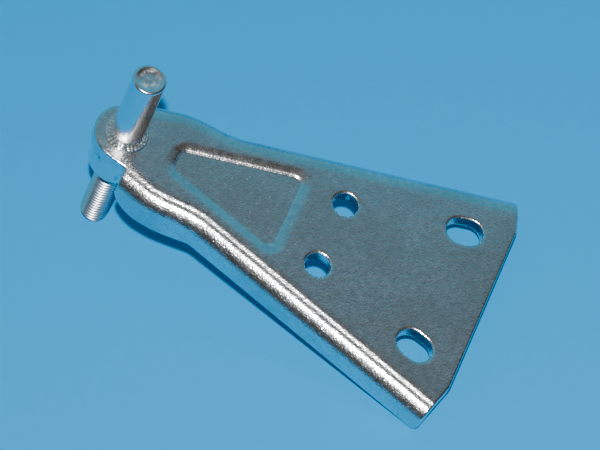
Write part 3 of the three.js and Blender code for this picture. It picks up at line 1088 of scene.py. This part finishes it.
# %% The thread tree
def rolled_strip(tree, size):
    """A flat strip, one unit long for each turn, rolled up into the thread."""
    strip = tree.nodes.new("GeometryNodeMeshGrid")
    strip.inputs["Size X"].default_value = TURNS
    strip.inputs["Size Y"].default_value = 1.0
    strip.inputs["Vertices X"].default_value = TURNS * AROUND + 1
    strip.inputs["Vertices Y"].default_value = UP_A_PITCH + 1
    place = tree.nodes.new("GeometryNodeInputPosition")
    parts = tree.nodes.new("ShaderNodeSeparateXYZ")
    tree.links.new(place.outputs[0], parts.inputs[0])
    turn = Formula(tree, parts.outputs["X"]) + TURNS / 2
    share = Formula(tree, parts.outputs["Y"]) + 0.5

    ridge = (share * 2.0 - 1.0).math("ABSOLUTE") * -1.0 + 1.0
    rise = (ridge / (size["Crest share"] * -1.0 + 1.0)).below(1.0)
    height = size["Tip height"] + (turn + share - TURNS_BELOW_TIP) * size["Pitch"]
    runout = ((size["Neck height"] - height) / size["Pitch"]).share()
    groove = size["Groove depth"] * (rise * -1.0 + 1.0) * runout
    chamfered = size["Stud radius"] - size["Chamfer"] + (height - size["Tip height"]).above(0.0)
    radius = (size["Stud radius"] - groove).below(chamfered)
    level = height.above(size["Tip height"]).below(size["Top height"])

    angle = turn * (2 * math.pi)
    join = tree.nodes.new("ShaderNodeCombineXYZ")
    tree.links.new((radius * angle.math("COSINE")).value, join.inputs["X"])
    tree.links.new((radius * angle.math("SINE")).value, join.inputs["Y"])
    tree.links.new(level.value, join.inputs["Z"])
    roll = tree.nodes.new("GeometryNodeSetPosition")
    tree.links.new(strip.outputs["Mesh"], roll.inputs["Geometry"])
    tree.links.new(join.outputs[0], roll.inputs["Position"])
    return roll.outputs[0]


def end_disc(tree, radius, height):
    """A disc that closes one end of the rolled strip."""
    disc = tree.nodes.new("GeometryNodeMeshCircle")
    disc.fill_type = "NGON"
    disc.inputs["Vertices"].default_value = AROUND
    tree.links.new(radius.value, disc.inputs["Radius"])
    return lifted(tree, disc.outputs["Mesh"], height)


def thread_tree():
    """A Geometry Nodes tree that makes the whole stud: thread, chamfer, neck and ends."""
    tree, start, end, size = new_tree("thread", THREAD_SIZES, False)
    thread = rolled_strip(tree, size)
    tip = end_disc(tree, size["Stud radius"] - size["Chamfer"], size["Tip height"])
    top = end_disc(tree, size["Stud radius"], size["Top height"])
    both = tree.nodes.new("GeometryNodeJoinGeometry")
    for part in (tip, top, thread):
        tree.links.new(part, both.inputs[0])
    weld = tree.nodes.new("GeometryNodeMergeByDistance")
    weld.inputs["Distance"].default_value = WELD
    tree.links.new(both.outputs[0], weld.inputs["Geometry"])
    finish_tree(tree, start, end, weld.outputs[0])
    return tree


print("thread tree ready")

# %% The stud, made by its tree
NO_LENGTH = 1e-7


def turned_outward(piece):
    """Makes every face of a closed piece point out, and counts its open edges."""
    mesh = bmesh.new()
    mesh.from_mesh(piece.data)
    bmesh.ops.dissolve_degenerate(mesh, dist=NO_LENGTH, edges=mesh.edges)
    bmesh.ops.recalc_face_normals(mesh, faces=mesh.faces)
    open_edges = sum(1 for e in mesh.edges if len(e.link_faces) != 2)
    mesh.to_mesh(piece.data)
    mesh.free()
    return open_edges


thread_piece = made_by_tree("stud_thread", thread_tree(), THREAD_SIZES, pin_zinc)
open_edges = turned_outward(thread_piece)
smooth(thread_piece, 80.0)
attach(thread_piece, "root")
print("thread:", len(thread_piece.data.polygons), "faces,", open_edges, "open edges")

# %% [markdown]
# ## The staked ring
# Where the pin is pressed home, staking raises a low ring round its foot, with
# two rows of small, low beads. An Array modifier on an empty that turns could set
# them out, but each row would need an empty of its own. One bead is modelled, and
# a tree sets copies of it round two circles, each turned to face the axis. The
# ring below is a whole disc, whose middle is hidden in the pin. It stands a hair
# above the plate, so that the two faces never fight for the same place.

# %% The ring below the beads
RING_CLEAR = 0.02 * MM
RING_EDGE = 0.25 * MM
RING_EDGE_STEPS = 4
INTO_PIN = 0.1 * MM

ring_profile = [(0.0, PLATE_TOP + RING_CLEAR), (RING_RADIUS, PLATE_TOP + RING_CLEAR)]
ring_profile += rounding(
    RING_RADIUS - RING_EDGE, RING_TOP - RING_EDGE, RING_EDGE, 0.0, RING_EDGE_STEPS
)
ring_profile += [(PIN_RADIUS - INTO_PIN, RING_TOP), (0.0, RING_TOP)]
ring_piece = turned("staked_ring", ring_profile, pin_zinc)
smooth(ring_piece, 50.0)
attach(ring_piece, "root")
print("staked ring:", len(ring_piece.data.polygons), "faces")

# %% One bead
BEAD_DEEP = 0.24 * MM
BEAD_WIDE = 0.26 * MM
BEAD_TALL = 0.16 * MM
BEAD_SKIRT = 0.1 * MM
BEAD_SIDES = 12
BEAD_STEPS = 4


def bead_mesh():
    """A low dome, a little wider along the ring than across it, with a sunk skirt."""
    mesh = bmesh.new()
    rows = [oval(mesh, BEAD_DEEP, BEAD_WIDE, -BEAD_SKIRT, BEAD_SIDES)]
    for step in range(BEAD_STEPS):
        rise = math.pi / 2 * step / BEAD_STEPS
        share = math.cos(rise)
        height = BEAD_TALL * math.sin(rise)
        rows.append(oval(mesh, BEAD_DEEP * share, BEAD_WIDE * share, height, BEAD_SIDES))
    rows.append(oval(mesh, 0.0, 0.0, BEAD_TALL, BEAD_SIDES))
    skin(mesh, rows, BEAD_SIDES)
    mesh.faces.new(list(reversed(rows[0])))
    bmesh.ops.recalc_face_normals(mesh, faces=mesh.faces)
    data = bpy.data.meshes.new("bead")
    mesh.to_mesh(data)
    mesh.free()
    return data


print("bead:", BEAD_SIDES, "sides,", round(BEAD_TALL / MM, 2), "mm tall")

# %% The bead tree
BEAD_COUNTS = {"Outer radius": 34, "Inner radius": 28}
BEAD_SIZES = {
    "Outer radius": 4.30 * MM,
    "Inner radius": 3.75 * MM,
    "Height": RING_TOP,
}


def bead_tree():
    """A Geometry Nodes tree that sets the bead round two circles."""
    tree, start, end, size = new_tree("ring_beads", BEAD_SIZES, True)
    both = tree.nodes.new("GeometryNodeJoinGeometry")
    for label, count in BEAD_COUNTS.items():
        circle = tree.nodes.new("GeometryNodeMeshCircle")
        circle.inputs["Vertices"].default_value = count
        tree.links.new(size[label].value, circle.inputs["Radius"])
        index = Formula(tree, tree.nodes.new("GeometryNodeInputIndex").outputs[0])
        spin = tree.nodes.new("ShaderNodeCombineXYZ")
        tree.links.new((index * (2 * math.pi / count)).value, spin.inputs["Z"])
        copies = tree.nodes.new("GeometryNodeInstanceOnPoints")
        tree.links.new(circle.outputs["Mesh"], copies.inputs["Points"])
        tree.links.new(start.outputs["Geometry"], copies.inputs["Instance"])
        tree.links.new(spin.outputs[0], copies.inputs["Rotation"])
        tree.links.new(copies.outputs[0], both.inputs[0])
    finish_tree(tree, start, end, lifted(tree, both.outputs[0], size["Height"]))
    return tree


bead_piece = made_by_tree("staked_beads", bead_tree(), BEAD_SIZES, pin_zinc, bead_mesh())
smooth(bead_piece, 60.0)
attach(bead_piece, "root")
print("beads:", len(bead_piece.data.polygons), "faces")

# %% [markdown]
# ## Floor, light and camera
# The hinge lies on a plain blue card on its stud's tip and the wide ends of its
# flanges, nose up, so the card is tilted against the plate. Metal shows what
# is round it. Large soft boxes all round would wash the plate out, so one small
# lamp close to the camera gives the bright bands on the bends, and dim
# surroundings, bluer towards the far side, colour the flat plate. The card has a
# very faint painted glow of its own, with no lamp behind it: it only lifts the shadows.

# %% Card under the hinge
REST_X = 78.5 * MM
TIP_X = STUD_RADIUS - CHAMFER
CARD_GAP = 0.05 * MM
CARD_MIDDLE = 38.0 * MM
CARD_HALF = 600.0 * MM
flange_foot = bracket_high[2] - FLANGE_DEPTH
card_tilt = math.atan2(flange_foot - pin_low[2], REST_X - TIP_X)


def make_card():
    """A square card through the stud's tip and the flanges' lower corners."""
    tip = Vector((TIP_X, 0.0, pin_low[2] - CARD_GAP))
    along = Vector((math.cos(card_tilt), 0.0, math.sin(card_tilt)))
    across = Vector((0.0, 1.0, 0.0))
    middle = tip + along * CARD_MIDDLE
    corners = []
    for a, b in ((-1, -1), (1, -1), (1, 1), (-1, 1)):
        corners.append(tuple(middle + along * CARD_HALF * a + across * CARD_HALF * b))
    data = bpy.data.meshes.new("card")
    data.from_pydata(corners, [], [(0, 1, 2, 3)])
    card = bpy.data.objects.new("card", data)
    bpy.context.scene.collection.objects.link(card)
    return card


card = make_card()
print("card tilted", round(math.degrees(card_tilt), 1), "degrees")

# %% Blue paper of the card
DARK_FIBRE = (0.0, 0.133, 0.285)
LIGHT_FIBRE = (0.001, 0.140, 0.298)
# Painted glow: light that the card gives off with no lamp behind it, only to lift its shadows.
PAINTED_GLOW = (0.0, 0.36, 1.0, 1.0)
PAINTED_GLOW_STRENGTH = 0.105

paper, tree, shader = new_material("pale_card")
fibre = noise(tree, object_place(tree), 400.0, detail=3.0)
tint = blended(tree, fibre, DARK_FIBRE, LIGHT_FIBRE)
tree.links.new(tint, shader.inputs["Base Color"])
shader.inputs["Roughness"].default_value = 0.9
shader.inputs["Specular IOR Level"].default_value = 0.0
# The painted glow: the card emits a faint blue light of its own, which lightens its shadows.
shader.inputs["Emission Color"].default_value = PAINTED_GLOW
shader.inputs["Emission Strength"].default_value = PAINTED_GLOW_STRENGTH
# Seen from below, the card is clear, so that it never hides the hinge.
back = tree.nodes.new("ShaderNodeBsdfTransparent")
choose = tree.nodes.new("ShaderNodeMixShader")
facing = tree.nodes.new("ShaderNodeNewGeometry")
tree.links.new(facing.outputs["Backfacing"], choose.inputs["Fac"])
tree.links.new(shader.outputs[0], choose.inputs[1])
tree.links.new(back.outputs[0], choose.inputs[2])
tree.links.new(choose.outputs[0], tree.nodes["Material Output"].inputs["Surface"])
card.data.materials.append(paper)
print(paper.name, "has", len(tree.nodes), "nodes")

# %% Dim surroundings
BELOW_FLOOR = (0.05, 0.30, 0.50)
FAR_SIDE = (-0.6, 0.8)
# Each colour by its angle from straight up, towards the far side.
SURROUNDINGS = (
    (-90.0, (0.05, 0.055, 0.06)),
    (-60.0, (0.035, 0.04, 0.042)),
    (10.0, (0.050, 0.043, 0.037)),
    (25.0, (0.165, 0.215, 0.250)),
    (35.0, (0.080, 0.365, 0.520)),
    (55.0, (0.08, 0.36, 0.52)),
    (90.0, (0.10, 0.44, 0.62)),
)
world = bpy.data.worlds.new("studio")
bpy.context.scene.world = world
world.use_nodes = True
tree = world.node_tree
sky = tree.nodes["Background"]
direction = tree.nodes.new("ShaderNodeTexCoord").outputs["Generated"]
parts = tree.nodes.new("ShaderNodeSeparateXYZ")
tree.links.new(direction, parts.inputs[0])
up = Formula(tree, parts.outputs["Z"])
along_x = Formula(tree, parts.outputs["X"]) * FAR_SIDE[0]
along_y = Formula(tree, parts.outputs["Y"]) * FAR_SIDE[1]
sideways = along_x + along_y
over = sideways.math("ARCTAN2", up) * (1 / math.pi) + 0.5
ramp = tree.nodes.new("ShaderNodeValToRGB")
tree.links.new(over.value, ramp.inputs["Fac"])
stops = ramp.color_ramp.elements
while len(stops) < len(SURROUNDINGS):
    stops.new(0.5)
for stop, (degrees, colour) in zip(stops, SURROUNDINGS):
    stop.position = degrees / 180.0 + 0.5
    stop.color = (*colour, 1.0)
above_floor = graded(up, -0.05, 0.0)
around = blended(tree, above_floor, BELOW_FLOOR, ramp.outputs["Color"])
tree.links.new(around, sky.inputs["Color"])
print("surroundings ready")

# %% Camera
CAMERA_AT = Vector((21.875, -398.576, 657.107)) * MM
CAMERA_AIM = Vector((39.797, -1.447, 33.0)) * MM
CAMERA_ROLL = math.radians(28.371)
FOCAL_LENGTH = 218.59

camera_data = bpy.data.cameras.new("camera")
camera_data.sensor_width = 36.0
camera_data.lens = FOCAL_LENGTH
camera_data.clip_start = 0.01
camera_data.clip_end = 10.0
camera = bpy.data.objects.new("camera", camera_data)
bpy.context.scene.collection.objects.link(camera)
look = (CAMERA_AIM - CAMERA_AT).normalized()
level = look.cross(Vector((0.0, 0.0, 1.0))).normalized()
upright = level.cross(look)
right = level * math.cos(CAMERA_ROLL) + upright * math.sin(CAMERA_ROLL)
up_edge = right.cross(look)
turn = Matrix((right, up_edge, -look)).transposed()
camera.matrix_world = Matrix.Translation(CAMERA_AT) @ turn.to_4x4()
bpy.context.scene.camera = camera
print("camera", round((CAMERA_AIM - CAMERA_AT).length, 3), "m from its aim")

# %% Lamp beside the camera
LAMP_LIFT = 68.0 * MM
LAMP_WIDTH = 24.0 * MM
LAMP_POWER = 19.0

lamp_at = CAMERA_AT + up_edge * LAMP_LIFT
plate_middle = Vector((WIDE_END / 2, 0.0, PLATE_TOP))
light = bpy.data.lights.new("key", "AREA")
light.shape = "DISK"
light.size = LAMP_WIDTH
light.energy = LAMP_POWER
lamp = bpy.data.objects.new("key", light)
lamp.location = lamp_at
lamp.rotation_mode = "QUATERNION"
lamp.rotation_quaternion = (plate_middle - lamp_at).to_track_quat("-Z", "Y")
bpy.context.scene.collection.objects.link(lamp)
print("lamp", round(LAMP_LIFT / MM), "mm above the camera's centre")
